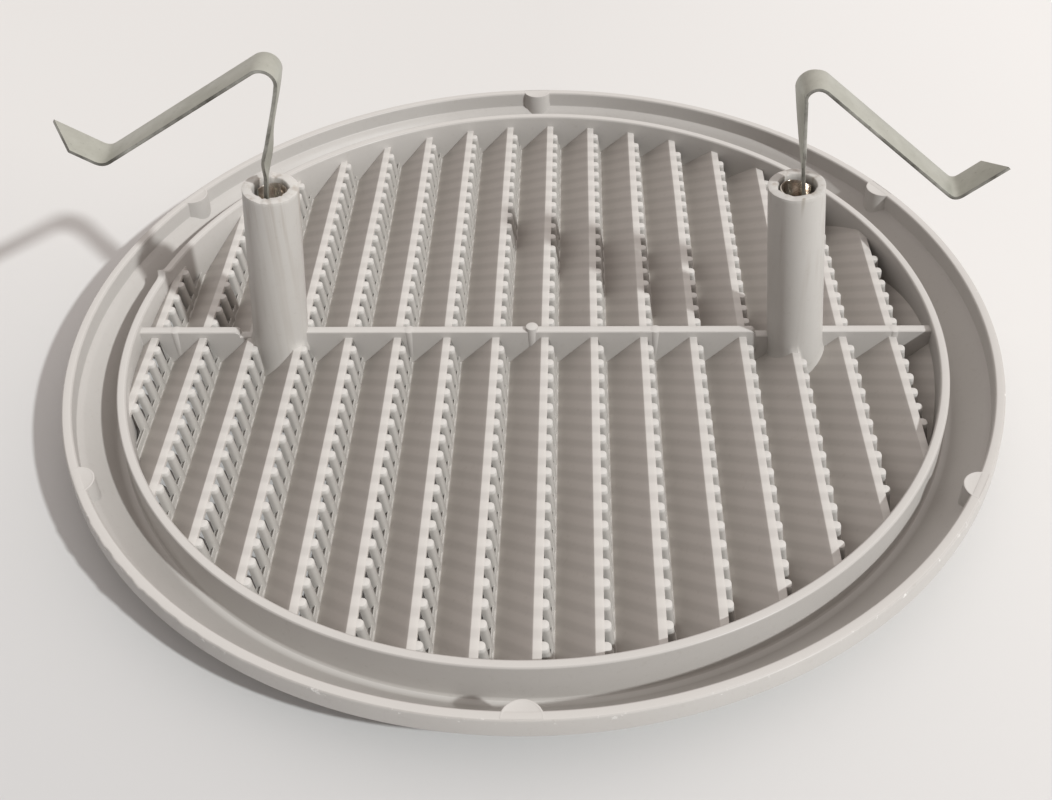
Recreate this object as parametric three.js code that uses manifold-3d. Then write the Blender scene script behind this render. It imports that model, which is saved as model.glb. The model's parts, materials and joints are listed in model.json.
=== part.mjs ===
// Round louvred ventilation grille, moulded in one piece, with two bent strip spring clips.
// Millimetres. Origin at the centre of the front face, +Z towards the duct, louvres along Y.
import * as THREE from "three";
import { mergeVertices } from "three/addons/utils/BufferGeometryUtils.js";
import Module from "manifold-3d";

// Flange: a shallow dish between the outer rim and the collar.
const RIM_R = 92.0; // outer radius of the flange
const RIM_WALL = 2.1;
const RIM_TOP = 11.9; // seat that lies against the wall or ceiling
const RIM_DROP = 3.6; // height of the straight outer wall
const DISH_WALL = 2.0;
const DISH_PULL_R = 87.9; // control point that bows the dish a little outwards
const DISH_PULL_Z = 3.0;

// Collar that enters the duct.
const COLLAR_R = 82.0;
const COLLAR_WALL = 1.9;
const COLLAR_TOP = 10.8;

// Ejector pads round the inside of the rim.
const PAD_COUNT = 6;
const PAD_R = 3.4;
const PAD_CENTRE_R = 91.4;
const PAD_BASE = 5.9; // inside the dish wall, which trims the pad's foot
const PAD_START = -89.5; // degrees from +X

// Louvre bank: inclined blade, flat ledge, steep comb wall, repeated.
const PITCH = 10.0;
const LOUVRE_COUNT = 16;
const FIRST_X = -78.1; // left edge of the first ledge
const LEDGE_Z = 8.0;
const LEDGE_W = 1.5;
const LEDGE_T = 1.0;
const LIP_Z = 1.3; // top of the lip a comb stands on
const LIP_BASE = 0.3;
const COMB_FOOT = 3.2; // ledge edge to comb foot, along X
const COMB_T = 0.75;
const RIB_PITCH = 4.2;
const SLOT_W = 2.6;
const SLOT_BASE = 2.3;
const BANK_R = 79.95; // the bank stops just inside the collar

// Crossbar over the louvres, in three lengths between collar and posts.
const BAR_T = 2.0;
const BAR_TOP = 9.4;
const BAR_GAP = 3.0; // the bar steps down this far before a post
const BOSS_R = 1.3;
const BOSSES = [[-73, 0.2], [-25, 0.2], [0, 0.8], [25, 0.2], [73, 0.2]]; // x and height over the bar

// Hollow posts for the clips, leaning a little towards each other.
const LEFT_POST_X = -51.7;
const RIGHT_POST_X = 53.4;
const POST_LEAN = 5.2; // degrees
const POST_PIVOT_Z = 5.0; // height at which the post axes cross the positions above
const POST_R = 5.3; // at the mouth
const POST_BASE_R = 5.6;
const BORE_R = 3.6;
const POST_TOP = 44.7; // measured along the leaning axis
const BORE_FLOOR = 27.0;

// Spring clips, bent from steel strip. Heights are along the post's axis.
const STRIP_T = 0.7;
const STRIP_W = 6.6;
const BEND_R = 2.6; // centreline radius of the top bend
const SLEEVE_R = 3.05; // centreline radius of the rolled end in the bore
const SLEEVE_BASE = 27.6;
const SLEEVE_TOP = 43.4;
const CLIPS = [
  {
    side: "left", x: LEFT_POST_X, lean: POST_LEAN, turn: 182.0,
    foot: 0, legTop: -2.75, top: 71.2, slope: 36.6, reach: 29.4, tip: 28,
  },
  {
    side: "right", x: RIGHT_POST_X, lean: -POST_LEAN, turn: -6.8,
    foot: 0.9, legTop: 0.6, top: 66.6, slope: 44.9, reach: 27.9, tip: 38.5,
  },
];
const TIP_LONG = 11.0;
const TIP_SHORT = 6.3;

const EPS = 0.05; // clearance between neighbouring moulded pieces
const RING_STEPS = 72;
const DISH_STEPS = 5;
const PLASTIC = { color: 0xdad5cd, roughness: 0.55, metalness: 0.0 };
const COMB_PLASTIC = { color: 0xe0dcd5, roughness: 0.55, metalness: 0.0 };
const STEEL = { color: 0x9a9b94, roughness: 0.35, metalness: 1.0 };

const wasm = await Module();
wasm.setup();

// three.js geometry to a manifold-3d solid.
function toSolid(geometry) {
  const bare = (geometry.index ? geometry.toNonIndexed() : geometry).clone();
  bare.deleteAttribute("normal");
  bare.deleteAttribute("uv");
  const merged = mergeVertices(bare, 1e-4);
  return new wasm.Manifold(
    new wasm.Mesh({
      numProp: 3,
      vertProperties: new Float32Array(merged.attributes.position.array),
      triVerts: new Uint32Array(merged.index.array),
    }),
  );
}

// A manifold-3d solid back to three.js geometry.
function toGeometry(solid) {
  const mesh = solid.getMesh();
  const n = mesh.numProp;
  const positions = new Float32Array(mesh.numVert * 3);
  for (let i = 0; i < mesh.numVert; i++) {
    positions.set(mesh.vertProperties.subarray(i * n, i * n + 3), i * 3);
  }
  const indexed = new THREE.BufferGeometry();
  indexed.setAttribute("position", new THREE.BufferAttribute(positions, 3));
  indexed.setIndex(new THREE.BufferAttribute(new Uint32Array(mesh.triVerts), 1));
  const flat = indexed.toNonIndexed();
  flat.computeVertexNormals();
  return flat;
}

// A ring swept round Z from a closed [radius, z] profile, counter-clockwise.
function ring(profile, steps = RING_STEPS) {
  const closed = [...profile, profile[0]].map(([r, z]) => new THREE.Vector2(r, z));
  return new THREE.LatheGeometry(closed, steps).rotateX(Math.PI / 2);
}

function cylinder(radius, z0, z1, steps = RING_STEPS) {
  return new THREE.CylinderGeometry(radius, radius, z1 - z0, steps)
    .rotateX(Math.PI / 2)
    .translate(0, 0, (z0 + z1) / 2);
}

// A closed [x, z] outline extruded along Y, centred on y = 0.
function prism(outline, length) {
  const shape = new THREE.Shape(outline.map(([x, z]) => new THREE.Vector2(x, z)));
  return new THREE.ExtrudeGeometry(shape, { depth: length, bevelEnabled: false })
    .translate(0, 0, -length / 2)
    .rotateX(Math.PI / 2);
}

const root = new THREE.Group();
root.name = "spring_clip_louvre_grille";

function add(name, geometry, finish) {
  const mesh = new THREE.Mesh(geometry, new THREE.MeshStandardMaterial(finish));
  mesh.name = name;
  root.add(mesh);
  return mesh;
}

// Dish section, outside curve then inside curve; grow thickens it for cutting its neighbours.
function dishProfile(grow = 0) {
  const outer = [];
  const inner = [];
  const start = new THREE.Vector2(COLLAR_R + EPS - grow, 0);
  const pull = new THREE.Vector2(DISH_PULL_R, DISH_PULL_Z);
  const end = new THREE.Vector2(RIM_R, RIM_TOP - RIM_DROP - EPS);
  const curve = new THREE.QuadraticBezierCurve(start, pull, end);
  for (let i = 0; i <= DISH_STEPS; i++) {
    const p = curve.getPoint(i / DISH_STEPS);
    const t = curve.getTangent(i / DISH_STEPS);
    outer.push([p.x, p.y]);
    inner.push([p.x - t.y * (DISH_WALL + grow), p.y + t.x * (DISH_WALL + grow)]);
  }
  inner[0][0] = outer[0][0];
  inner[DISH_STEPS][0] = RIM_R - RIM_WALL - grow;
  inner[DISH_STEPS][1] = outer[DISH_STEPS][1];
  return [...outer, ...inner.reverse()];
}

add("flange_dish", ring(dishProfile()), PLASTIC);
const rimProfile = (grow) => [
  [RIM_R - RIM_WALL - grow, RIM_TOP - RIM_DROP],
  [RIM_R, RIM_TOP - RIM_DROP],
  [RIM_R - 0.2, RIM_TOP + grow],
  [RIM_R - RIM_WALL - grow, RIM_TOP + grow],
];
add("flange_rim", ring(rimProfile(0)), PLASTIC);
add(
  "collar",
  ring([
    [COLLAR_R - COLLAR_WALL, 0],
    [COLLAR_R, 0],
    [COLLAR_R, COLLAR_TOP],
    [COLLAR_R - COLLAR_WALL, COLLAR_TOP],
  ]),
  PLASTIC,
);

// Pads: discs cut back to the rim and the dish.
const rimCut = toSolid(ring(rimProfile(EPS))).add(toSolid(ring(dishProfile(EPS))));
for (let i = 0; i < PAD_COUNT; i++) {
  const angle = THREE.MathUtils.degToRad(PAD_START + (i * 360) / PAD_COUNT);
  const disc = cylinder(PAD_R, PAD_BASE, RIM_TOP, 24);
  disc.translate(PAD_CENTRE_R * Math.cos(angle), PAD_CENTRE_R * Math.sin(angle), 0);
  const inside = toSolid(cylinder(RIM_R - RIM_WALL - EPS, 0, RIM_TOP + 1));
  const pad = toSolid(disc).intersect(inside).subtract(rimCut);
  const pieces = pad.decompose().sort((a, b) => b.volume() - a.volume());
  add(`rim_pad_${i + 1}`, toGeometry(pieces[0]), PLASTIC);
}

// Louvres and combs, trimmed to the inside of the collar.
const bankRound = toSolid(cylinder(BANK_R, -1, 20));
const slantX = (z) => (COMB_FOOT * (LEDGE_Z - z) + LEDGE_W * (z - LIP_Z)) / (LEDGE_Z - LIP_Z);
const footX = COMB_FOOT - PITCH;
const louvreOutline = [
  [footX - 0.9, LIP_BASE],
  [footX + 1.2, LIP_BASE],
  [0.9, LEDGE_Z - LEDGE_T],
  [LEDGE_W, LEDGE_Z - LEDGE_T],
  [LEDGE_W, LEDGE_Z],
  [0, LEDGE_Z],
  [footX, LIP_Z],
  [footX - 0.9, LIP_Z],
];

for (let i = 0; i <= LOUVRE_COUNT; i++) {
  const x0 = FIRST_X + i * PITCH;
  const tag = String(i + 1).padStart(2, "0");
  const blade = prism(louvreOutline, 2 * BANK_R).translate(x0, 0, 0);
  add(`louvre_${tag}`, toGeometry(toSolid(blade).intersect(bankRound)), PLASTIC);
  if (i === LOUVRE_COUNT) break;

  const reach = Math.max(Math.abs(x0), Math.abs(x0 + COMB_FOOT));
  const half = Math.sqrt(BANK_R ** 2 - reach ** 2) - 0.1;
  const top = LEDGE_Z - LEDGE_T;
  // Upright comb outline in (y, z): a foot rail with ribs standing on it.
  const edge = [[half, LIP_Z], [half, top]];
  const slotCount = Math.floor((half - SLOT_W / 2 - 0.6 + RIB_PITCH / 2) / RIB_PITCH);
  for (let n = slotCount; n >= 1; n--) {
    const y = (n - 0.5) * RIB_PITCH;
    edge.push([y + SLOT_W / 2, top], [y + SLOT_W / 2, SLOT_BASE]);
    edge.push([y - SLOT_W / 2, SLOT_BASE], [y - SLOT_W / 2, top]);
  }
  const mirrored = edge.map(([y, z]) => [-y, z]).reverse();
  const shape = new THREE.Shape([...edge, ...mirrored].map(([y, z]) => new THREE.Vector2(y, z)));
  const comb = new THREE.ExtrudeGeometry(shape, { depth: COMB_T, bevelEnabled: false });
  comb.applyMatrix4(new THREE.Matrix4().set(0, 0, 1, -COMB_T, 1, 0, 0, 0, 0, 1, 0, 0, 0, 0, 0, 1));
  // The upright wall is leaned over to meet the ledge and the lip.
  const lean = (slantX(top) - slantX(LIP_Z)) / (top - LIP_Z);
  comb.applyMatrix4(
    new THREE.Matrix4().set(1, 0, lean, x0 + slantX(0), 0, 1, 0, 0, 0, 0, 1, 0, 0, 0, 0, 1),
  );
  add(`comb_${tag}`, comb, COMB_PLASTIC);
}

// Everything under the upper surface of the louvre bank, with clearance.
function bankBelow() {
  const outline = [[-90, -2], [90, -2], [90, LEDGE_Z + EPS]];
  for (let i = LOUVRE_COUNT; i >= 0; i--) {
    const x0 = FIRST_X + i * PITCH;
    outline.push([x0 + LEDGE_W + EPS, LEDGE_Z + EPS], [x0 - EPS, LEDGE_Z + EPS]);
    outline.push([x0 + footX + EPS, LIP_Z + 2 * EPS]);
  }
  outline.push([-90, LIP_Z]);
  return toSolid(prism(outline, 30));
}
const below = bankBelow();

// Turns a piece drawn about the Z axis into its place on a leaning post.
function onPost(geometry, x, lean, turn = 0) {
  return geometry
    .rotateZ(THREE.MathUtils.degToRad(turn))
    .translate(0, 0, -POST_PIVOT_Z)
    .rotateY(THREE.MathUtils.degToRad(lean))
    .translate(x, 0, POST_PIVOT_Z);
}
const POSTS = [
  ["left", LEFT_POST_X, POST_LEAN],
  ["right", RIGHT_POST_X, -POST_LEAN],
];
function postShank(grow) {
  return new THREE.CylinderGeometry(POST_R + grow, POST_BASE_R + grow, POST_TOP, 40)
    .rotateX(Math.PI / 2)
    .translate(0, 0, POST_TOP / 2);
}
const postRoom = POSTS.map(([, x, lean]) => toSolid(onPost(postShank(EPS), x, lean))).reduce((a, b) =>
  a.add(b),
);

// Crossbar lengths: the top steps down before the post on its right-hand end.
function bar(x0, x1, stepped) {
  const outline = [[x0, 0], [x1, 0], [x1, LEDGE_Z + 0.5]];
  if (stepped) {
    outline.push([x1 - BAR_GAP, LEDGE_Z + 0.5], [x1 - BAR_GAP - 0.9, BAR_TOP]);
  } else {
    outline.push([x1, BAR_TOP]);
  }
  outline.push([x0, BAR_TOP]);
  return toSolid(prism(outline, BAR_T)).subtract(below).subtract(postRoom).intersect(bankRound);
}
const postEdge = POST_BASE_R - 0.4;
for (const [name, x0, x1, stepped] of [
  ["crossbar_left", -BANK_R, LEFT_POST_X - postEdge, true],
  ["crossbar_middle", LEFT_POST_X + postEdge, RIGHT_POST_X - postEdge, true],
  ["crossbar_right", RIGHT_POST_X + postEdge, BANK_R, false],
]) {
  const pieces = bar(x0, x1, stepped).decompose().sort((a, b) => b.volume() - a.volume());
  add(name, toGeometry(pieces[0]), PLASTIC);
}
BOSSES.forEach(([x, height], i) => {
  const boss = cylinder(BOSS_R, BAR_TOP + 0.01, BAR_TOP + height, 16).translate(x, 0, 0);
  add(`crossbar_boss_${i + 1}`, boss, PLASTIC);
});

// Posts stand on the sloping louvres and have a blind bore from the top.
for (const [side, x, lean] of POSTS) {
  const bore = cylinder(BORE_R, BORE_FLOOR, POST_TOP + 1, 32);
  const pieces = toSolid(onPost(postShank(0), x, lean))
    .subtract(toSolid(onPost(bore, x, lean)))
    .subtract(below)
    .decompose();
  pieces.sort((a, b) => b.volume() - a.volume());
  add(`post_${side}`, toGeometry(pieces[0]), PLASTIC);
}

// Strip outline of even thickness along an open [r, z] centreline.
function stripOutline(line) {
  const left = [];
  const right = [];
  line.forEach((p, i) => {
    const a = line[Math.max(i - 1, 0)];
    const b = line[Math.min(i + 1, line.length - 1)];
    const before = new THREE.Vector2().subVectors(p, a).normalize();
    const after = new THREE.Vector2().subVectors(b, p).normalize();
    const t = new THREE.Vector2().addVectors(before, after).normalize();
    const mitre = STRIP_T / 2 / Math.max(t.dot(i ? before : after), 0.5);
    left.push([p.x - t.y * mitre, p.y + t.x * mitre]);
    right.push([p.x + t.y * mitre, p.y - t.x * mitre]);
  });
  return [...right, ...left.reverse()];
}

for (const clip of CLIPS) {
  const slope = THREE.MathUtils.degToRad(clip.slope);
  const tip = THREE.MathUtils.degToRad(clip.tip);
  const lean = Math.atan2(clip.legTop - clip.foot, clip.top - BEND_R - SLEEVE_TOP - 4);
  const centre = new THREE.Vector2(
    clip.legTop + BEND_R * Math.cos(lean),
    clip.top - BEND_R - STRIP_T / 2,
  );
  const around = (a) => new THREE.Vector2(centre.x + BEND_R * Math.cos(a), centre.y + BEND_R * Math.sin(a));

  // Leg: out of the bore, then bowed up to the bend.
  const legEnd = around(Math.PI + lean * -1);
  const leg = new THREE.CubicBezierCurve(
    new THREE.Vector2(clip.foot, SLEEVE_TOP - 1.5),
    new THREE.Vector2(clip.foot, SLEEVE_TOP + 8),
    new THREE.Vector2(legEnd.x - Math.sin(lean) * 8, legEnd.y - Math.cos(lean) * 8),
    legEnd,
  ).getPoints(8);

  // Rolled end: an open sleeve that grips the bore, tied to the leg by a short web.
  const sleeve = new THREE.Shape();
  const gap = THREE.MathUtils.degToRad(50);
  sleeve.absarc(0, 0, SLEEVE_R + STRIP_T / 2, gap / 2, 2 * Math.PI - gap / 2, false);
  sleeve.absarc(0, 0, SLEEVE_R - STRIP_T / 2, 2 * Math.PI - gap / 2, gap / 2, true);
  const roll = new THREE.ExtrudeGeometry(sleeve, {
    depth: SLEEVE_TOP - SLEEVE_BASE,
    bevelEnabled: false,
    curveSegments: 20,
  }).translate(0, 0, SLEEVE_BASE);
  const web = 2 * Math.sqrt(SLEEVE_R ** 2 - clip.foot ** 2) + 0.1;
  const tongue = new THREE.BoxGeometry(STRIP_T, web, 8).translate(clip.foot, 0, SLEEVE_TOP - 3.6);
  const strip = prism(stripOutline(leg), STRIP_W - 0.2);
  const narrow = new THREE.BoxGeometry(6, STRIP_W - 2.2, 6).translate(0, 0, SLEEVE_TOP - 1.6);
  const wide = new THREE.BoxGeometry(20, STRIP_W, 60).translate(0, 0, SLEEVE_TOP + 31.4);
  const legSolid = toSolid(strip)
    .intersect(toSolid(wide).add(toSolid(narrow)))
    .add(toSolid(tongue))
    .add(toSolid(roll));
  const place = (geometry) => onPost(geometry, clip.x, clip.lean, clip.turn);
  add(`clip_${clip.side}_leg`, place(toGeometry(legSolid)), STEEL);

  // Arm: the bend, the long sloping arm and the turned-up tip, cut off at an angle.
  const line = [];
  const first = Math.PI - lean;
  const last = Math.PI / 2 - slope;
  for (let i = 0; i <= 12; i++) line.push(around(first + ((last - first) * (i + 0.15)) / 12.15));
  const armStart = line[line.length - 1];
  const corner = new THREE.Vector2(
    clip.reach,
    armStart.y - Math.tan(slope) * (clip.reach - armStart.x),
  );
  line.push(corner);
  const point = (l) => new THREE.Vector2(corner.x + l * Math.cos(tip), corner.y + l * Math.sin(tip));
  line.push(point(TIP_LONG + 1));

  // Slanted end cut, drawn in the plane of the tip as [length, width].
  const skew = (TIP_LONG - TIP_SHORT) / STRIP_W;
  const side = STRIP_W / 2 + 1;
  const waste = new THREE.Shape([
    new THREE.Vector2(TIP_LONG + skew, -side),
    new THREE.Vector2(TIP_LONG + 6, -side),
    new THREE.Vector2(TIP_LONG + 6, side),
    new THREE.Vector2(TIP_SHORT - skew, side),
  ]);
  const knife = new THREE.ExtrudeGeometry(waste, { depth: 6, bevelEnabled: false })
    .translate(0, 0, -3)
    .rotateY(-tip)
    .translate(corner.x, 0, corner.y);
  const arm = toSolid(prism(stripOutline(line), STRIP_W)).subtract(toSolid(knife));
  add(`clip_${clip.side}_arm`, place(toGeometry(arm)), STEEL);
}

export default root;
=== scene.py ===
"""Looks of the round louvre grille with spring clips, lying face down on a pale table.

Lengths are written in millimetres and turned into metres where a mesh is made.
"""
import json
import math

import bpy
from mathutils import Matrix, Vector, noise


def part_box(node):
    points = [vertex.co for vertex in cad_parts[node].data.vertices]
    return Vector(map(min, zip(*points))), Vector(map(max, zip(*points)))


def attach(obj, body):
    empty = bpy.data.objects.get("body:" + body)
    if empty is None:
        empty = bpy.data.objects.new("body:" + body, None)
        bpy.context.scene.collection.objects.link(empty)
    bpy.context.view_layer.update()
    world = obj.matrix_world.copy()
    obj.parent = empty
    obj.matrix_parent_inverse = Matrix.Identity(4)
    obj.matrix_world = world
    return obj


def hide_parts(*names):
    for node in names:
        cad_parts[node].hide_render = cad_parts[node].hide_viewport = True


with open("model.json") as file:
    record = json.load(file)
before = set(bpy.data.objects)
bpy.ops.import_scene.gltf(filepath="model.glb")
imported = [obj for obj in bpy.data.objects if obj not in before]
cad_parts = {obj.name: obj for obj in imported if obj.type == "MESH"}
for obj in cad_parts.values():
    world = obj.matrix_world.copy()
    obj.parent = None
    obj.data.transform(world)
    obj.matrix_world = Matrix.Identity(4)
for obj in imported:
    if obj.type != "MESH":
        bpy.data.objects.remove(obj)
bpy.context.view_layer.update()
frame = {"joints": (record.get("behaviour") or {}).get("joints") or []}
MM = 0.001
JOINTS = {joint["name"]: joint for joint in frame["joints"]}


def cad(node):
    """Lowest and highest corner of a CAD node, in millimetres."""
    low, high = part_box(node)
    return low / MM, high / MM


# ---------------------------------------------------------------- sizes read from the frame
RIM_R = cad("flange_rim")[1].x
RIM_TOP = cad("flange_rim")[1].z
RIM_FOOT = cad("flange_rim")[0].z
COLLAR_R = cad("collar")[1].x
COLLAR_TOP = cad("collar")[1].z
LEDGE_Z = cad("louvre_09")[1].z
BLADE_BASE = cad("louvre_09")[0].z
PITCH = cad("louvre_10")[0].x - cad("louvre_09")[0].x
LEDGE_RIGHT = cad("louvre_09")[1].x
BAR_TOP = cad("crossbar_middle")[1].z
LOUVRES = 17
COMBS = 16
PADS = 6

# ---------------------------------------------------------------- sizes of the section
RIM_WALL = 2.1
COLLAR_WALL = 1.9
DISH_WALL = 2.0
DISH_PULL = (87.9, 3.0)
COLLAR_IN = COLLAR_R - COLLAR_WALL
FUSE_R = COLLAR_IN + 0.5  # blades run this far into the collar wall
LEDGE_W = 1.5
LIP_Z = 1.3
COMB_FOOT = 3.2
FIRST_X = LEDGE_RIGHT - LEDGE_W - 8 * PITCH
BLADE_FOOT = 3.5  # a blade's upper face starts this far from the ledge on its left
RIB_PITCH = 4.2
RIB_W = 1.8
RIB_DEEP = 1.3
BAND_START = 0.9
BAND_SLANT = 1.15  # painted bands of rib shadow on a blade slope this much in Y for their rise in Z
TAB_REACH = 1.1  # a tab sticks out this far from the ledge
ROUND = 0.75  # nose radius of a tab and its rib
PAD_R = 3.4
BAR_T = 2.0
BAR_STOP = 3.1  # the bar stops this far short of a post
BAR_SINK = 0.35  # the bar's foot sinks this far into the louvres
FLUSH_BOSS_R = 1.22


def saw(x):
    """Height of the louvre bank's upper surface at x."""
    u = (x - FIRST_X) % PITCH
    if u <= LEDGE_W:
        return LEDGE_Z
    if u <= COMB_FOOT:
        return LEDGE_Z + (LIP_Z - LEDGE_Z) * (u - LEDGE_W) / (COMB_FOOT - LEDGE_W)
    return LIP_Z + (LEDGE_Z - LIP_Z) * max(0.0, u - BLADE_FOOT) / (PITCH - BLADE_FOOT)


# ---------------------------------------------------------------- mesh helpers
def make(name, verts, faces, mats, body, nodes, sharp=32, indices=None):
    """A mesh piece in millimetres that rides on a body and stands for CAD nodes."""
    mesh = bpy.data.meshes.new(name)
    mesh.from_pydata([[c * MM for c in v] for v in verts], [], faces)
    mesh.validate()
    for mat in mats:
        mesh.materials.append(mat)
    mesh.shade_smooth()
    mesh.set_sharp_from_angle(angle=math.radians(sharp))
    if indices:
        mesh.polygons.foreach_set("material_index", indices)
    piece = bpy.data.objects.new(name, mesh)
    bpy.context.scene.collection.objects.link(piece)
    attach(piece, body)
    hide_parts(*nodes)
    return piece


def fillet(points, radii, steps=4):
    """Rounds the corners of a closed 2-D outline; a radius of 0 keeps the corner."""
    out = []
    count = len(points)
    for i, (p, radius) in enumerate(zip(points, radii)):
        p = Vector(p)
        if radius <= 0:
            out.append(p)
            continue
        before = (Vector(points[i - 1]) - p).normalized()
        after = (Vector(points[(i + 1) % count]) - p).normalized()
        half = before.angle(after) / 2
        cut = radius / math.tan(half)
        a, b = p + before * cut, p + after * cut
        centre = p + (before + after).normalized() * (radius / math.sin(half))
        for k in range(steps + 1):
            q = a.lerp(b, k / steps) - centre
            out.append(centre + q.normalized() * radius)
    return out


def lathe(profile, steps, lift):
    """Closed (radius, z) outline turned about Z; lift(angle, r, z) says how a point moves."""
    verts, faces = [], []
    count = len(profile)
    for s in range(steps):
        angle = 2 * math.pi * s / steps
        for r, z in profile:
            dr, dz = lift(angle, r, z)
            r, z = r + dr, z + dz
            verts.append((r * math.cos(angle), r * math.sin(angle), z))
    for s in range(steps):
        here, there = s * count, (s + 1) % steps * count
        for i in range(count):
            j = (i + 1) % count
            faces.append((here + i, there + i, there + j, here + j))
    return verts, faces


def loft(rings):
    """Closed skin over equal rings of points."""
    verts, faces = [], []
    count = len(rings[0])
    for ring in rings:
        verts.extend(ring)
    last = (len(rings) - 1) * count
    for here in range(0, last, count):
        there = here + count
        for i in range(count):
            j = (i + 1) % count
            faces.append((here + i, here + j, there + j, there + i))
    faces.append(tuple(reversed(range(count))))
    faces.append(tuple(range(last, last + count)))
    return verts, faces


def clip_x(outline, low, high):
    """Keeps the part of a closed (x, z) outline between two x values."""
    for limit, keep in ((low, lambda x: x >= low), (high, lambda x: x <= high)):
        out = []
        for i, b in enumerate(outline):
            a = outline[i - 1]
            if keep(a[0]) != keep(b[0]):
                t = (limit - a[0]) / (b[0] - a[0])
                out.append((limit, a[1] + t * (b[1] - a[1])))
            if keep(b[0]):
                out.append((b[0], b[1]))
        outline = out
    return outline


def finer(outline, step):
    """Splits long edges of a closed (x, z) outline, so that its ends follow the round wall."""
    out = []
    for i, (x, z) in enumerate(outline):
        px, pz = outline[i - 1]
        parts = max(1, math.ceil(abs(x - px) / step))
        for k in range(1, parts + 1):
            out.append((px + (x - px) * k / parts, pz + (z - pz) * k / parts))
    return out


def reach(x, radius=FUSE_R):
    """Half the length of a chord of a circle, at x from its centre."""
    return math.sqrt(max(radius * radius - x * x, 0.0))


# ---------------------------------------------------------------- materials
class Nodes:
    """A material's node tree with short calls for the nodes used here."""

    def __init__(self, name):
        self.material = bpy.data.materials.new(name)
        self.material.use_nodes = True
        self.tree = self.material.node_tree
        self.shader = self.tree.nodes["Principled BSDF"]
        self.place = self.new("ShaderNodeTexCoord").outputs["Object"]

    def new(self, kind, **values):
        node = self.tree.nodes.new(kind)
        for key, value in values.items():
            setattr(node, key, value)
        return node

    def link(self, a, b):
        self.tree.links.new(a, b)

    def noise(self, scale, detail=3.0, rough=0.5, stretch=(1, 1, 1)):
        mapping = self.new("ShaderNodeMapping")
        mapping.inputs["Scale"].default_value = stretch
        self.link(self.place, mapping.inputs["Vector"])
        node = self.new("ShaderNodeTexNoise")
        node.inputs["Scale"].default_value = scale
        node.inputs["Detail"].default_value = detail
        node.inputs["Roughness"].default_value = rough
        self.link(mapping.outputs["Vector"], node.inputs["Vector"])
        return node.outputs["Fac"]

    def ramp(self, value, stops):
        """Two colour stops."""
        node = self.new("ShaderNodeValToRGB")
        for element, (at, colour) in zip(node.color_ramp.elements, stops):
            element.position = at
            element.color = (*colour, 1)
        self.link(value, node.inputs["Fac"])
        return node.outputs["Color"]

    def span(self, value, low, high, to_low, to_high):
        node = self.new("ShaderNodeMapRange")
        numbers = {"From Min": low, "From Max": high, "To Min": to_low, "To Max": to_high}
        for key, number in numbers.items():
            node.inputs[key].default_value = number
        self.link(value, node.inputs["Value"])
        return node.outputs["Result"]

    def mix(self, kind, factor, a, b):
        node = self.new("ShaderNodeMix", data_type="RGBA", blend_type=kind)
        for socket, value in ((node.inputs[0], factor), (node.inputs[6], a), (node.inputs[7], b)):
            if isinstance(value, bpy.types.NodeSocket):
                self.link(value, socket)
            elif isinstance(value, tuple):
                socket.default_value = (*value, 1)
            else:
                socket.default_value = value
        return node.outputs[2]

    def maths(self, operation, a, b):
        node = self.new("ShaderNodeMath", operation=operation)
        for socket, value in ((node.inputs[0], a), (node.inputs[1], b)):
            if isinstance(value, bpy.types.NodeSocket):
                self.link(value, socket)
            else:
                socket.default_value = value
        return node.outputs[0]

    def axis(self, letter):
        node = self.new("ShaderNodeSeparateXYZ")
        self.link(self.place, node.inputs[0])
        return node.outputs[letter]

    def bump(self, height, strength, distance):
        node = self.new("ShaderNodeBump")
        node.inputs["Strength"].default_value = strength
        node.inputs["Distance"].default_value = distance
        self.link(height, node.inputs["Height"])
        if self.shader.inputs["Normal"].links:
            self.link(self.shader.inputs["Normal"].links[0].from_socket, node.inputs["Normal"])
        self.link(node.outputs["Normal"], self.shader.inputs["Normal"])


def scuffed(n, colour):
    """Post finish: fine upright scratches, with brownish runs and spots under the mouth."""
    streak = n.noise(520.0, 3.0, 0.6, (1.0, 1.0, 0.03))
    near_mouth = n.span(n.axis("Z"), 0.024, 0.043, 0.25, 1.0)
    runs = n.maths("MULTIPLY", n.span(streak, 0.52, 0.70, 0.0, 0.55), near_mouth)
    colour = n.mix("MULTIPLY", runs, colour, (0.58, 0.50, 0.42))
    stain = n.noise(300.0, 2.0, 0.5, (1.0, 1.0, 0.05))
    high_up = n.span(n.axis("Z"), 0.036, 0.043, 0.0, 1.0)
    spot = n.maths("MULTIPLY", n.span(stain, 0.66, 0.74, 0.0, 0.8), high_up)
    colour = n.mix("MULTIPLY", spot, colour, (0.46, 0.40, 0.30))
    n.bump(n.noise(700.0, 3.0, 0.6, (1.0, 1.0, 0.05)), 0.18, 0.00006)
    return colour


def lit_tops_and_scuffs(n, colour):
    """Level faces get painted light from above, which makes them paler, and the rim's outer edge
    carries small white scuffs.
    """
    level = n.new("ShaderNodeSeparateXYZ")
    n.link(n.new("ShaderNodeNewGeometry").outputs["Normal"], level.inputs[0])
    # painted light: faces that look straight up are mixed towards a paler colour, as if lit more
    # from above
    painted_top_light = n.span(level.outputs["Z"], 0.90, 0.99, 0.0, 0.62)
    colour = n.mix("MIX", painted_top_light, colour, (0.665, 0.652, 0.630))
    x, y = n.axis("X"), n.axis("Y")
    square = n.maths("ADD", n.maths("MULTIPLY", x, x), n.maths("MULTIPLY", y, y))
    far = n.maths("SQRT", square, 0.0)
    edge = n.span(far, (RIM_R - 0.75) * MM, (RIM_R - 0.25) * MM, 0.0, 1.0)
    scuffs = n.maths("MULTIPLY", n.span(n.noise(650.0, 4.0, 0.65), 0.61, 0.69, 0.0, 0.8), edge)
    on_top = n.maths("MULTIPLY", scuffs, n.span(n.axis("Z"), 0.0106, 0.0116, 0.0, 0.9))
    return n.mix("MIX", on_top, colour, (0.86, 0.85, 0.83))


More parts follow.
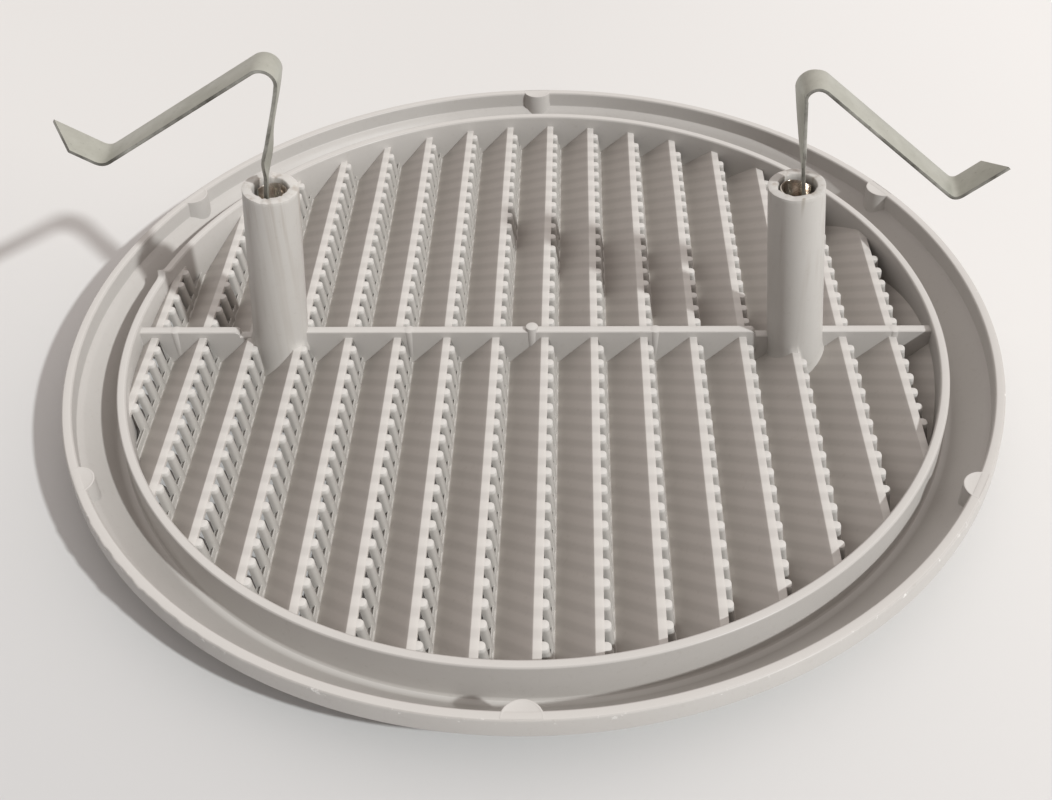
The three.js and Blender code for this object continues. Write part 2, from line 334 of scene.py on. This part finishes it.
def plastic(name, light, dark, banded=False, scratched=False, shaded=False):
    """Aged, satin injection-moulded plastic: cloudy tint, fine grain, darker towards the bottom.

    banded adds faint painted bands of rib shadow across the blades, scratched the finish of the
    posts, and shaded painted shade on the combs under the ledges.
    """
    n = Nodes(name)
    cloud = n.noise(28.0, 4.0, 0.55)
    colour = n.ramp(cloud, [(0.30, dark), (0.72, light)])
    speck = n.noise(900.0, 2.0, 0.6)
    colour = n.mix("MULTIPLY", n.span(speck, 0.60, 0.78, 0.0, 0.16), colour, (0.62, 0.58, 0.52))
    # the colour gets darker towards the bottom: most at 0.5 mm up, none above 7.5 mm
    low = n.span(n.axis("Z"), 0.0005, 0.0075, 0.20, 0.0)
    colour = n.mix("MULTIPLY", low, colour, (0.70, 0.66, 0.60))
    colour = lit_tops_and_scuffs(n, colour)
    if banded:
        # painted shade: darker bands at the rib pitch stand in for the shadows of the comb ribs on
        # the blades, with a slight matching bump
        along = n.maths("ADD", n.axis("Y"), n.maths("MULTIPLY", n.axis("Z"), BAND_SLANT))
        along = n.maths("SUBTRACT", along, BAND_START * MM)
        wave = n.maths("COSINE", n.maths("MULTIPLY", along, 2 * math.pi / (RIB_PITCH * MM)), 0.0)
        band = n.span(wave, -0.7, 0.5, 0.40, 0.0)
        colour = n.mix("MULTIPLY", band, colour, (0.74, 0.735, 0.73))
        n.bump(band, 0.25, 0.00003)
    if shaded:
        # painted shade: comb ribs and rail are darkened below ledge height, where the ledges and
        # blades shade them
        below = n.span(n.axis("Z"), (LEDGE_Z - 1.1) * MM, (LEDGE_Z - 0.7) * MM, 0.65, 0.0)
        colour = n.mix("MULTIPLY", below, colour, (0.70, 0.69, 0.675))
    if scratched:
        colour = scuffed(n, colour)
    n.link(colour, n.shader.inputs["Base Color"])
    n.link(n.span(n.noise(60.0, 3.0), 0.3, 0.7, 0.36, 0.52), n.shader.inputs["Roughness"])
    n.shader.inputs["IOR"].default_value = 1.49
    n.bump(n.noise(2600.0, 2.0), 0.12, 0.00002)
    n.bump(n.noise(120.0, 2.0, 0.4, (1.0, 0.25, 1.0)), 0.10, 0.00025)
    return n.material


def steel(name, light, dark, rough_low, rough_high, metal, pitted=0.75):
    """Rolled spring strip with a dull zinc film, stains and fine scratches."""
    n = Nodes(name)
    stain = n.noise(160.0, 5.0, 0.6)
    colour = n.ramp(stain, [(0.32, dark), (0.64, light)])
    pits = n.noise(1300.0, 3.0, 0.7)
    colour = n.mix("MULTIPLY", n.span(pits, 0.63, 0.74, 0.0, pitted), colour, (0.16, 0.14, 0.12))
    n.link(colour, n.shader.inputs["Base Color"])
    n.shader.inputs["Metallic"].default_value = metal
    rough = n.span(n.noise(240.0, 4.0), 0.3, 0.7, rough_low, rough_high)
    n.link(rough, n.shader.inputs["Roughness"])
    n.bump(n.noise(1500.0, 3.0, 0.6), 0.20, 0.00003)
    n.bump(n.noise(90.0, 2.0), 0.06, 0.0003)
    return n.material


PLASTIC = plastic(
    "moulded_plastic", (0.508, 0.492, 0.472), (0.470, 0.452, 0.432),
)
# painted light: the blades get a paler copy of the moulding's plastic, to make up for the shade
# they lie in
BLADE_PLASTIC = plastic(
    "blade_plastic", (0.600, 0.573, 0.545), (0.562, 0.535, 0.507), banded=True,
)
COMB_PLASTIC = plastic(
    "comb_plastic", (0.595, 0.583, 0.562), (0.555, 0.541, 0.518), shaded=True,
)
POST_PLASTIC = plastic(
    "post_plastic", (0.548, 0.533, 0.510), (0.505, 0.488, 0.464), scratched=True,
)
STRIP_FACE = steel(
    "strip_face", (0.510, 0.519, 0.467), (0.430, 0.437, 0.387),
    rough_low=0.36, rough_high=0.50, metal=0.55, pitted=0.35,
)
STRIP_EDGE = steel(
    "strip_edge", (0.50, 0.50, 0.46), (0.12, 0.115, 0.10),
    rough_low=0.30, rough_high=0.55, metal=0.80,
)
# partly painted highlight: the sleeve's pale and dark patches are spread wide, so that the pale
# ones stand in for highlights inside the bore, besides real staining
SLEEVE_STEEL = steel(
    "sleeve_steel", (0.85, 0.82, 0.76), (0.26, 0.20, 0.155),
    rough_low=0.14, rough_high=0.26, metal=0.90,
)


# ---------------------------------------------------------------- flange, rim and collar
def flange_profile():
    """Closed section through dish, rim, channel and collar."""
    start, pull, end = Vector((COLLAR_R + 0.6, 0.0)), Vector(DISH_PULL), Vector((RIM_R, RIM_FOOT))
    rim_in = RIM_R - RIM_WALL
    outer, inner = [], []
    bend_steps = 16
    for i in range(bend_steps + 1):
        t = i / bend_steps
        p = start.lerp(pull, t).lerp(pull.lerp(end, t), t)
        slope = (pull.lerp(end, t) - start.lerp(pull, t)).normalized()
        outer.append(p)
        q = p + Vector((-slope.y, slope.x)) * DISH_WALL
        if COLLAR_R + 0.9 < q.x < rim_in - 0.5:
            inner.append(q)
    rim = fillet(
        [
            (RIM_R, RIM_FOOT + 0.25),
            (RIM_R - 0.2, RIM_TOP),
            (rim_in, RIM_TOP),
            (rim_in, inner[-1].y + 0.5),
            inner[-1],
        ],
        [0, 0.35, 0.45, 0.3, 0],
    )
    collar = fillet(
        [
            inner[0],
            (COLLAR_R, inner[0].y - 0.2),
            (COLLAR_R - 0.05, COLLAR_TOP),
            (COLLAR_IN + 0.05, COLLAR_TOP - 0.05),
            (COLLAR_IN, 0.0),
        ],
        [0, 0.5, 0.35, 0.45, 0.3],
    )
    return [*outer, *rim, *reversed(inner[1:-1]), *collar]


# Rough burrs left on the moulding: start and end angle in degrees, height and seed.
BURRS = [(212.0, 244.0, 0.34, 1.0), (318.0, 333.0, 0.16, 5.0)]
NICK_AT = 168.0  # one torn sliver stands up on the collar at this angle, in degrees
FLANGE_STEPS = 480


def settle(angle, r, z):
    """How a point of the flange moves: slightly out of true, with burrs on the rim and the nick."""
    wave = 0.10 * math.sin(2 * angle + 0.6) + 0.05 * math.sin(5 * angle)
    dr, dz = min(0.0, wave * 0.5 - 0.05), 0.0
    if r > RIM_R - 0.5 and z > RIM_TOP - 0.5:
        for start, end, height, seed in BURRS:
            inside = min(math.degrees(angle) - start, end - math.degrees(angle))
            if inside > 0:
                rough = max(0.0, noise.noise(Vector((angle * 38, seed, 0.0))) + 0.25)
                dr += height * rough * min(1.0, inside / 4)
    if r < COLLAR_R and z > COLLAR_TOP - 0.6:
        nick = abs(math.degrees(angle) - NICK_AT)
        dz += max(0.0, 0.9 - 0.9 * nick)
        dr += max(0.0, 0.5 - 0.6 * nick)
    return (dr, dz)


verts, faces = lathe(flange_profile(), FLANGE_STEPS, settle)
make(
    "spigot_flange", verts, faces, [PLASTIC], "grille",
    ["flange_dish", "flange_rim", "collar"],
)


# Radius and height of a pad's rings, with a fine raised line round its face.
PAD_STEPS = [
    (PAD_R, 5.6),
    (PAD_R, RIM_TOP - 0.25),
    (PAD_R - 0.04, RIM_TOP - 0.02),
    (PAD_R - 0.20, RIM_TOP + 0.05),
    (PAD_R - 0.35, RIM_TOP),
    (PAD_R - 0.50, RIM_TOP - 0.03),
]


def rim_pad(i):
    """Ejector pad: a disc across the rim, its round nose standing on the dish."""
    low, high = cad(f"rim_pad_{i}")
    middle = (low + high) / 2
    angle = math.atan2(middle.y, middle.x)
    if middle.x < 0 and middle.y < 0:
        angle -= math.radians(1.7)  # this one sits a little off the even spacing
    c, s = math.cos(angle), math.sin(angle)
    centre, steps = RIM_R - 0.75, 40
    rings = []
    for radius, z in PAD_STEPS:
        edge = RIM_R - 0.62 if z > RIM_FOOT else RIM_R - 2.6
        ring = []
        for k in range(steps):
            a = 2 * math.pi * k / steps
            x, y = centre + radius * math.cos(a), radius * math.sin(a)
            far = math.hypot(x, y)
            if far > edge:
                x, y = x * edge / far, y * edge / far
            ring.append((x * c - y * s, x * s + y * c, z))
        rings.append(ring)
    verts, faces = loft(rings)
    make(f"pad_{i}", verts, faces, [PLASTIC], "grille", [f"rim_pad_{i}"], sharp=50)


for i in range(1, PADS + 1):
    rim_pad(i)


# ---------------------------------------------------------------- louvres and combs
def louvre(i):
    """Inclined blade with its ledge and lip, ending inside the collar wall."""
    x0 = FIRST_X + (i - 1) * PITCH
    foot = BLADE_FOOT - PITCH
    outline = fillet(
        [
            (foot - 0.9, BLADE_BASE),
            (foot + 1.2, BLADE_BASE),
            (0.9, LEDGE_Z - 1.0),
            (LEDGE_W, LEDGE_Z - 1.0),
            (LEDGE_W, LEDGE_Z),
            (0.0, LEDGE_Z),
            (foot, LIP_Z),
            (foot - 0.9, LIP_Z),
        ],
        [0.3, 0.3, 0.2, 0.15, 0.12, 0.28, 0.35, 0.0],
        3,
    )
    side = FUSE_R - 0.2
    outline = finer(clip_x([(x0 + p.x, p.y) for p in outline], -side, side), 0.8)
    stations = 25
    rings = []
    for s in range(stations):
        t = 2 * s / (stations - 1) - 1
        ring = []
        for x, z in outline:
            y = t * reach(x)
            sway = 0.10 * noise.noise(Vector((i * 3.1, y * 0.03, 0.0)))
            ring.append((x + sway, y, z))
        rings.append(ring)
    verts, faces = loft(rings)
    make(
        f"blade_{i:02d}", verts, faces, [BLADE_PLASTIC], "grille",
        [f"louvre_{i:02d}"], sharp=38,
    )


# Height, growth of the outline, and whether the rib reaches back to the ledge there.
RIB_STEPS = [
    (1.0, 0.24, False),
    (4.5, 0.10, False),
    (LEDGE_Z - 1.05, 0.0, False),
    (LEDGE_Z - 0.90, 0.0, True),
    (LEDGE_Z - 0.24, 0.0, True),
    (LEDGE_Z - 0.10, -0.05, True),
    (LEDGE_Z - 0.03, -0.20, True),
]


def rib_ring(back, nose, y0, half, z):
    """D-shaped section of a rib, kept inside the collar wall."""
    turn_r = min(ROUND, half)
    ring = [(back, y0 - half)]
    for a in range(-4, 5):
        turn = math.pi / 8 * a
        shift = half - turn_r if a > 0 else turn_r - half if a < 0 else 0.0
        x = nose - turn_r + turn_r * math.cos(turn)
        ring.append((x, y0 + shift + turn_r * math.sin(turn)))
    ring.append((back, y0 + half))
    return [(max(-reach(y), min(reach(y), x)), y, z) for x, y in ring]


def comb(i):
    """Foot rail with leaning, round-nosed ribs whose tops show beside the ledge."""
    x0 = FIRST_X + (i - 1) * PITCH
    verts, faces = [], []

    def join(part):
        base = len(verts)
        verts.extend(part[0])
        faces.extend(tuple(base + k for k in face) for face in part[1])

    rail = fillet(
        [
            (COMB_FOOT - 1.15, 0.9),
            (COMB_FOOT, 0.9),
            (COMB_FOOT - 0.12, 2.75),
            (COMB_FOOT - 0.38, 2.75),
            (COMB_FOOT - 0.48, 2.2),
            (COMB_FOOT - 1.25, 2.2),
        ],
        [0, 0, 0.08, 0.08, 0.1, 0.15],
        2,
    )
    join(loft([
        [(x0 + p.x, t * reach(x0 + p.x), p.y) for p in rail]
        for t in (-1.0, -0.5, 0.0, 0.5, 1.0)
    ]))

    half = RIB_W / 2
    outermost = max(abs(x0 + COMB_FOOT), abs(x0 + COMB_FOOT - RIB_DEEP))
    count = int((reach(outermost, COLLAR_IN) - half) / RIB_PITCH)
    for k in range(-count, count + 1):
        y0 = k * RIB_PITCH
        wobble = 0.08 * noise.noise(Vector((i * 1.7, k * 0.9, 4.0)))
        rings = []
        for z, grow, tab in RIB_STEPS:
            lean = (LEDGE_Z - z) * (COMB_FOOT - LEDGE_W - TAB_REACH) / (LEDGE_Z - LIP_Z)
            nose = x0 + LEDGE_W + lean + TAB_REACH + grow + wobble
            back = x0 + LEDGE_W - 0.3 if tab else nose - RIB_DEEP
            rings.append(rib_ring(back, nose, y0, half + grow, z))
        join(loft(rings))
    make(
        f"insect_comb_{i:02d}", verts, faces, [COMB_PLASTIC], "grille",
        [f"comb_{i:02d}"], sharp=35,
    )


for i in range(1, LOUVRES + 1):
    louvre(i)
for i in range(1, COMBS + 1):
    comb(i)


# ---------------------------------------------------------------- crossbar
# Place across the bar's thickness, and how far its top drops there.
BAR_ROWS = [(-0.5, 0.16), (-0.43, 0.04), (-0.37, 0.0), (0.37, 0.0), (0.43, 0.04), (0.5, 0.16)]


def crossbar(side):
    """Bar over the louvres; its foot sinks a little into them."""
    low, high = cad(f"crossbar_{side}")
    x0, x1 = low.x - 0.3, high.x + 0.3
    end = x1 - BAR_STOP
    top = [(x1, BAR_TOP), (x0, BAR_TOP)]
    radii = [0.0, 0.0]
    if side != "right":
        top = [(x1, LEDGE_Z + 0.15), (end, LEDGE_Z + 0.15), (end - 0.15, BAR_TOP), (x0, BAR_TOP)]
        radii = [0.0, 0.2, 0.9, 0.0]
    edge = [x0, x1]
    for k in range(-1, LOUVRES + 1):
        for u in (0.0, LEDGE_W, COMB_FOOT):
            x = FIRST_X + k * PITCH + u
            if x0 + 0.2 < x < x1 - 0.2:
                edge.append(x)
    foot = [(x, saw(x) - BAR_SINK) for x in sorted(edge)]
    outline = fillet([*foot, *top], [0.0] * len(foot) + radii, 6)
    rings = []
    for y, drop in reversed(BAR_ROWS):
        rings.append([
            (p.x, y * BAR_T, p.y - (drop if p.y > LEDGE_Z - 0.1 else 0.0))
            for p in outline
        ])
    verts, faces = loft(rings)
    make(
        f"bar_{side}", verts, faces, [PLASTIC], "grille",
        [f"crossbar_{side}"], sharp=40,
    )


for side in ("left", "middle", "right"):
    crossbar(side)


def boss(i):
    """Ejector boss through the bar: the middle one stands proud, the others are nearly flush."""
    low, high = cad(f"crossbar_boss_{i}")
    x, r, top = (low.x + high.x) / 2, (high.x - low.x) / 2, high.z
    if top < BAR_TOP + 0.5:
        r, top = FLUSH_BOSS_R, BAR_TOP + 0.04
    rings = []
    for scale, z in ((0.86, LIP_Z + 1.0), (1.0, top - 0.3), (0.94, top - 0.1), (0.74, top - 0.01)):
        rings.append([
            (x + r * scale * math.cos(a * math.pi / 12), r * scale * math.sin(a * math.pi / 12), z)
            for a in range(24)
        ])
    verts, faces = loft(rings)
    make(
        f"boss_{i}", verts, faces, [PLASTIC], "grille",
        [f"crossbar_boss_{i}"], sharp=40,
    )


for i in range(1, 6):
    boss(i)


# ---------------------------------------------------------------- posts
class PostFrame:
    """Where a leaning post stands: at(h, r, angle) is a point r from its axis, h along it."""

    def __init__(self, side):
        joint = JOINTS[f"{side}_clip_turn"]
        self.axis = Vector(joint["axis"]).normalized()
        self.origin = Vector(joint["pos_m"]) / MM
        top = cad(f"post_{side}")[1].z
        self.across = Vector((0, 1, 0)).cross(self.axis).normalized()
        self.mouth = (top - self.origin.z) / self.axis.z - 0.45
        self.foot = (LIP_Z - self.origin.z) / self.axis.z

    def at(self, h, r, angle):
        flat = self.across * math.cos(angle) + Vector((0, 1, 0)) * math.sin(angle)
        return self.origin + self.axis * h + flat * r


MOUTH_R, BASE_R, BORE_DEPTH = 5.3, 5.6, 17.5
BASE_FLARE, FLARE_RISE = 0.40, 1.8  # a post widens this much where it meets the louvres
# Bore radius, its offset across and along Y, seed, and how torn the mouth is.
BORES = {"left": (3.4, -0.15, 0.1, 3.0, 1.0), "right": (3.6, 0.1, 0.0, 17.0, 0.35)}


def post(side):
    """Hollow post: drafted shank, torn mouth, base flared into the louvres."""
    place = PostFrame(side)
    bore_r, bore_x, bore_y, seed, torn = BORES[side]
    steps = 96
    length = place.mouth - place.foot

    def skin(h):
        return BASE_R + (MOUTH_R - BASE_R) * (h - place.foot) / length

    def column(angle):
        """One upright line of points, from under the louvres over the mouth into the bore."""
        c, s = math.cos(angle), math.sin(angle)
        ripple = noise.noise(Vector((c * 2.2, s * 2.2, seed)))
        tear = torn * max(0.0, noise.noise(Vector((c * 4.5, s * 4.5, seed + 9))) - 0.05)
        ground = place.foot + saw(place.at(place.foot + 4, BASE_R, angle).x) - LIP_Z
        points = []
        for rise in (-1.2, 0.0, 0.25, 0.6, 1.1, 1.8, 2.8):
            flare = BASE_FLARE * max(0.0, 1 - max(rise, 0.0) / FLARE_RISE) ** 2
            points.append(place.at(ground + rise, skin(ground + rise) + flare, angle))
        for part in (0.34, 0.5, 0.65, 0.8, 0.92, 0.975):
            h = place.foot + length * part
            points.append(place.at(h, skin(h), angle))
        top = place.mouth - 0.12 - 0.12 * (ripple + 1) - 0.35 * tear
        points.append(place.at(top - 0.10, MOUTH_R, angle))
        points.append(place.at(top - 0.03, MOUTH_R - 0.04, angle))
        points.append(place.at(top, MOUTH_R - 0.14, angle))
        shift = place.across * bore_x + Vector((0, bore_y, 0))
        gnaw = 0.55 * tear + 0.10 * ripple
        for drop, inset in ((0.0, 0.20), (0.05, 0.06), (0.2, -0.05), (0.9, -0.1)):
            r = bore_r + inset + gnaw * max(0.0, 1 - drop)
            points.append(place.at(top - drop, r, angle) + shift)
        for depth in (2.2, 6.0, BORE_DEPTH):
            points.append(place.at(place.mouth - depth, bore_r, angle) + shift)
        return points

    columns = [column(2 * math.pi * k / steps) for k in range(steps)]
    rings = [[columns[k][row][:] for k in range(steps)] for row in range(len(columns[0]))]
    verts, faces = loft(rings)
    make(
        f"post_shell_{side}", verts, faces, [POST_PLASTIC], "grille",
        [f"post_{side}"], sharp=42,
    )


post("left")
post("right")


# ---------------------------------------------------------------- spring clips
STRIP_T, STRIP_W, BEND_R = 0.7, 6.6, 2.6
TONGUE_W = 1.5  # width where the leg enters the sleeve
NECK_AT, NECK_LONG = 2.0, 6.2  # the leg widens from here over the mouth, along this length
SLEEVE_R, SLEEVE_DEPTH, SLEEVE_SUNK = 2.78, 15.5, 1.2
TIP_LONG, TIP_SHORT = 11.0, 6.3
CORNER_CUT = 1.6  # the bend between arm and tip starts this far from its corner
FACE, EDGE, SLEEVE = 0, 1, 2  # a clip's material indices
# slope and tip are in degrees; reach is from the post's axis to the corner of the arm;
# bow and off say how far the leg's top and foot stand out, which sets its slope at the bend;
# near is where the leg passes the mouth of the post;
# leaf twists the leg just over the mouth, and twist turns it just under the bend.
CLIPS = {
    "left": dict(
        slope=36.6, tip=28.0, reach=29.4, bow=-2.75, off=0.0, near=0.85, leaf=10.0, twist=0.0,
    ),
    "right": dict(
        slope=44.9, tip=38.5, reach=27.9, bow=0.6, off=0.9, near=1.3, leaf=0.0, twist=-14.0,
    ),
}


class ClipFrame:
    """Flat frame of a clip: out is away from the post, up along it, side across the strip."""

    def __init__(self, side):
        flex = JOINTS[f"{side}_arm_flex"]
        turn = JOINTS[f"{side}_clip_turn"]
        self.side = Vector(flex["axis"]).normalized()
        self.up = Vector(turn["axis"]).normalized()
        self.out = self.side.cross(self.up).normalized()
        self.bend = Vector(flex["pos_m"]) / MM
        self.post = Vector(turn["pos_m"]) / MM
        to_bend = self.bend - self.post
        self.bend_out = to_bend.dot(self.out)
        self.bend_up = to_bend.dot(self.up)

    def at(self, out, up, side):
        return self.post + self.out * out + self.up * up + self.side * side


def strip_section(width, thick):
    """Rectangle with rounded corners, as twelve (normal, side) points."""
    r = 0.14
    out = []
    for sn, ss in ((1, -1), (1, 1), (-1, 1), (-1, -1)):
        for k in range(3):
            a = math.pi / 4 * k
            turn = (math.sin(a), math.cos(a)) if sn * ss < 0 else (math.cos(a), math.sin(a))
            out.append((sn * (thick / 2 - r + r * turn[0]), ss * (width / 2 - r + r * turn[1])))
    return out


def sweep(place, line, widths, twists, cut=None, thicks=None):
    """Strip swept along (out, up) points; cut(side) gives the extra length of the last ring."""
    thicks = thicks or [STRIP_T] * len(line)
    rings = []
    for i, p in enumerate(line):
        a, b = line[max(i - 1, 0)], line[min(i + 1, len(line) - 1)]
        tangent = (Vector(b) - Vector(a)).normalized()
        normal = Vector((-tangent.y, tangent.x))
        turn = math.radians(twists[i])
        ring = []
        c, v = math.cos(turn), math.sin(turn)
        for n, s in strip_section(widths[i], thicks[i]):
            n, s = n * c - s * v, n * v + s * c
            q = Vector(p) + normal * n
            if cut and i == len(line) - 1:
                q += tangent * cut(s)
            ring.append(place.at(q.x, q.y, s)[:])
        rings.append(ring)
    verts, faces = loft(rings)
    around = [EDGE if k in (0, 4, 5, 6, 10, 11) else FACE for k in range(len(rings[0]))]
    return verts, faces, around * (len(rings) - 1) + [EDGE, EDGE]


def bezier(a, b, c, d, steps):
    """Points along a cubic curve."""
    out = []
    for k in range(steps + 1):
        t = k / steps
        ab, bc, cd = a.lerp(b, t), b.lerp(c, t), c.lerp(d, t)
        out.append(ab.lerp(bc, t).lerp(bc.lerp(cd, t), t))
    return out


# Radius and height of the sleeve's rings, from its foot up the outside and down the inside.
SLEEVE_RINGS = [
    (SLEEVE_R + 0.33, -SLEEVE_DEPTH),
    (SLEEVE_R + 0.33, -0.12),
    (SLEEVE_R + 0.2, 0.0),
    (SLEEVE_R + 0.1, 0.0),
    (SLEEVE_R, -0.12),
    (SLEEVE_R - 0.15, -SLEEVE_DEPTH),
]


def clip(side):
    """One spring clip: rolled sleeve and leg, then bend, arm and turned-up tip."""
    place = ClipFrame(side)
    spec = CLIPS[side]
    mouth = PostFrame(side).mouth
    sleeve_top = mouth - SLEEVE_SUNK
    centre = Vector((place.bend_out, place.bend_up))
    lean = math.atan2(spec["bow"] - spec["off"], place.bend_up - mouth - 3)

    def around(angle):
        return centre + Vector((math.cos(angle), math.sin(angle))) * BEND_R

    # Leg
    leg_end = around(math.pi - lean)
    near = spec["near"]
    line = [Vector((near, mouth - 7.0)), Vector((near, mouth - 4.0))]
    line += bezier(
        Vector((near, mouth - 2.4)),
        Vector((near - 0.5, mouth + 11)),
        leg_end - Vector((math.sin(lean), math.cos(lean))) * 8,
        leg_end,
        26,
    )
    widths, twists = [], []
    top = leg_end.y - mouth
    for p in line:
        above = p.y - mouth
        neck = min(1.0, max(0.0, (above - NECK_AT) / NECK_LONG))
        widths.append(TONGUE_W + (STRIP_W - TONGUE_W) * neck)
        leaf = spec["leaf"] * math.exp(-((above - 5.6) / 3.4) ** 2)
        twists.append(leaf + spec["twist"] * min(1.0, max(0.0, above / top)))
    thicks = [STRIP_T] * len(line)
    # The leg runs on inside the bend, so that no gap opens when the arm flexes.
    for k in range(1, 8):
        line.append(around(math.pi - lean - math.radians(4 * k)))
        widths.append(STRIP_W - 0.16)
        twists.append(spec["twist"] * (1 - k / 14))
        thicks.append(STRIP_T - 0.16)
    verts, faces, indices = sweep(place, line, widths, twists, thicks=thicks)
    base = len(verts)

    # Rolled sleeve, open on one side
    steps = 40
    for ring_r, ring_up in SLEEVE_RINGS:
        for k in range(steps + 1):
            angle = math.radians(25 + 310 * k / steps)
            dent = 0.06 * math.sin(3 * angle + 1.0)
            verts.append(place.at(
                (ring_r + dent) * math.cos(angle),
                sleeve_top + ring_up - 0.35 * math.cos(angle),
                (ring_r + dent) * math.sin(angle),
            )[:])
    count, rows = steps + 1, len(SLEEVE_RINGS)
    for r in range(rows):
        here, there = base + r * count, base + (r + 1) % rows * count
        for k in range(steps):
            faces.append((here + k, there + k, there + k + 1, here + k + 1))
            indices.append(SLEEVE)
    for k in (0, steps):
        cap = [base + r * count + k for r in range(rows)]
        faces.append(tuple(cap if k == 0 else reversed(cap)))
        indices.append(EDGE)
    make(
        f"spring_leg_{side}", verts, faces, [STRIP_FACE, STRIP_EDGE, SLEEVE_STEEL],
        f"{side}_clip", [f"clip_{side}_leg"], 40, indices,
    )

    # Arm
    slope, tip = math.radians(spec["slope"]), math.radians(spec["tip"])
    first, last = math.pi - lean, math.pi / 2 - slope
    line = [around(first + (last - first) * k / 20) for k in range(21)]
    start = line[-1]
    corner = Vector((spec["reach"], start.y - math.tan(slope) * (spec["reach"] - start.x)))
    down = Vector((math.cos(slope), -math.sin(slope)))
    rise = Vector((math.cos(tip), math.sin(tip)))
    before, after = corner - down * CORNER_CUT, corner + rise * CORNER_CUT
    line += [start.lerp(before, k / 10) for k in range(1, 11)]
    line += [
        before.lerp(corner, t).lerp(corner.lerp(after, t), t)
        for t in (0.17, 0.33, 0.5, 0.67, 0.83)
    ]
    middle = (TIP_LONG + TIP_SHORT) / 2
    line += [after, corner + rise * 3.4, corner + rise * middle]
    skew = (TIP_LONG - TIP_SHORT) / STRIP_W
    verts, faces, indices = sweep(
        place,
        line,
        [STRIP_W] * len(line),
        [spec["twist"] * max(0.0, 1 - k / 14) for k in range(len(line))],
        lambda s: -skew * s,
    )
    make(
        f"spring_arm_{side}", verts, faces, [STRIP_FACE, STRIP_EDGE],
        f"{side}_arm", [f"clip_{side}_arm"], 40, indices,
    )


clip("left")
clip("right")


# ---------------------------------------------------------------- floor, light and camera
TABLE_HALF = 2.5
SUN_FROM = (0.626, -0.465, 0.64)
SKY_FROM = (0.45, 0.60, 0.66)
CAMERA_AT = (0.0090, -0.19969, 0.17976)  # metres
CAMERA_DOWN, CAMERA_TURN, CAMERA_ROLL = 39.163, 2.299, -1.633  # degrees


def floor():
    """Pale table top with painted light falloff: a little dimmer and cooler in front, and brighter
    on the right.
    """
    half = TABLE_HALF
    corners = [(-half, -half, 0), (half, -half, 0), (half, half, 0), (-half, half, 0)]
    mesh = bpy.data.meshes.new("table")
    mesh.from_pydata(corners, [], [(0, 1, 2, 3)])
    n = Nodes("table_top")
    colour = n.ramp(n.noise(3.0, 3.0), [(0.3, (0.712, 0.710, 0.703)), (0.7, (0.734, 0.733, 0.727))])
    # painted light falloff: the table is made dimmer and cooler towards the front, and paler on the
    # right
    sideways = n.maths("MULTIPLY", n.axis("X"), 0.30)
    back = n.maths("ADD", n.maths("MULTIPLY", n.axis("Y"), 0.9), sideways)
    colour = n.mix("MULTIPLY", n.span(back, -0.115, 0.04, 1.0, 0.0), colour, (0.835, 0.845, 0.860))
    right = n.span(n.axis("X"), 0.0, 0.14, 0.0, 0.5)
    colour = n.mix("MIX", right, colour, (0.90, 0.90, 0.895))
    n.link(colour, n.shader.inputs["Base Color"])
    n.shader.inputs["Roughness"].default_value = 0.6
    mesh.materials.append(n.material)
    table = bpy.data.objects.new("table", mesh)
    bpy.context.scene.collection.objects.link(table)


def sky():
    """Soft room light, brightest from above at the back right and dimmest from the front left."""
    world = bpy.data.worlds.new("soft_room")
    bpy.context.scene.world = world
    world.use_nodes = True
    tree = world.node_tree
    place = tree.nodes.new("ShaderNodeTexCoord")
    dot = tree.nodes.new("ShaderNodeVectorMath")
    dot.operation = "DOT_PRODUCT"
    dot.inputs[1].default_value = SKY_FROM
    span = tree.nodes.new("ShaderNodeMapRange")
    numbers = {"From Min": -0.7, "From Max": 0.9, "To Min": 0.14, "To Max": 0.83}
    for key, number in numbers.items():
        span.inputs[key].default_value = number
    tree.links.new(place.outputs["Generated"], dot.inputs[0])
    tree.links.new(dot.outputs["Value"], span.inputs["Value"])
    tree.links.new(span.outputs["Result"], tree.nodes["Background"].inputs["Strength"])
    tree.nodes["Background"].inputs["Color"].default_value = (1.0, 0.915, 0.87, 1)


def light():
    """One slightly soft sun from the front right."""
    lamp = bpy.data.lights.new("key", "SUN")
    lamp.energy = 2.55
    lamp.angle = math.radians(2.4)
    lamp.color = (0.985, 1.0, 0.995)
    key = bpy.data.objects.new("key", lamp)
    key.rotation_euler = Vector(SUN_FROM).to_track_quat("Z", "Y").to_euler()
    bpy.context.scene.collection.objects.link(key)


def camera():
    """Camera in front of the grille and above it, looking down at it."""
    lens = bpy.data.cameras.new("camera")
    lens.sensor_width = 36.0
    lens.lens = 44.26
    lens.shift_x = -0.0094
    lens.shift_y = -0.0951
    view = bpy.data.objects.new("camera", lens)
    view.matrix_world = (
        Matrix.Translation(CAMERA_AT)
        @ Matrix.Rotation(math.radians(CAMERA_TURN), 4, "Z")
        @ Matrix.Rotation(math.radians(90 - CAMERA_DOWN), 4, "X")
        @ Matrix.Rotation(math.radians(CAMERA_ROLL), 4, "Z")
    )
    bpy.context.scene.collection.objects.link(view)
    bpy.context.scene.camera = view


floor()
sky()
light()
camera()
bpy.context.scene.view_settings.view_transform = "Standard"
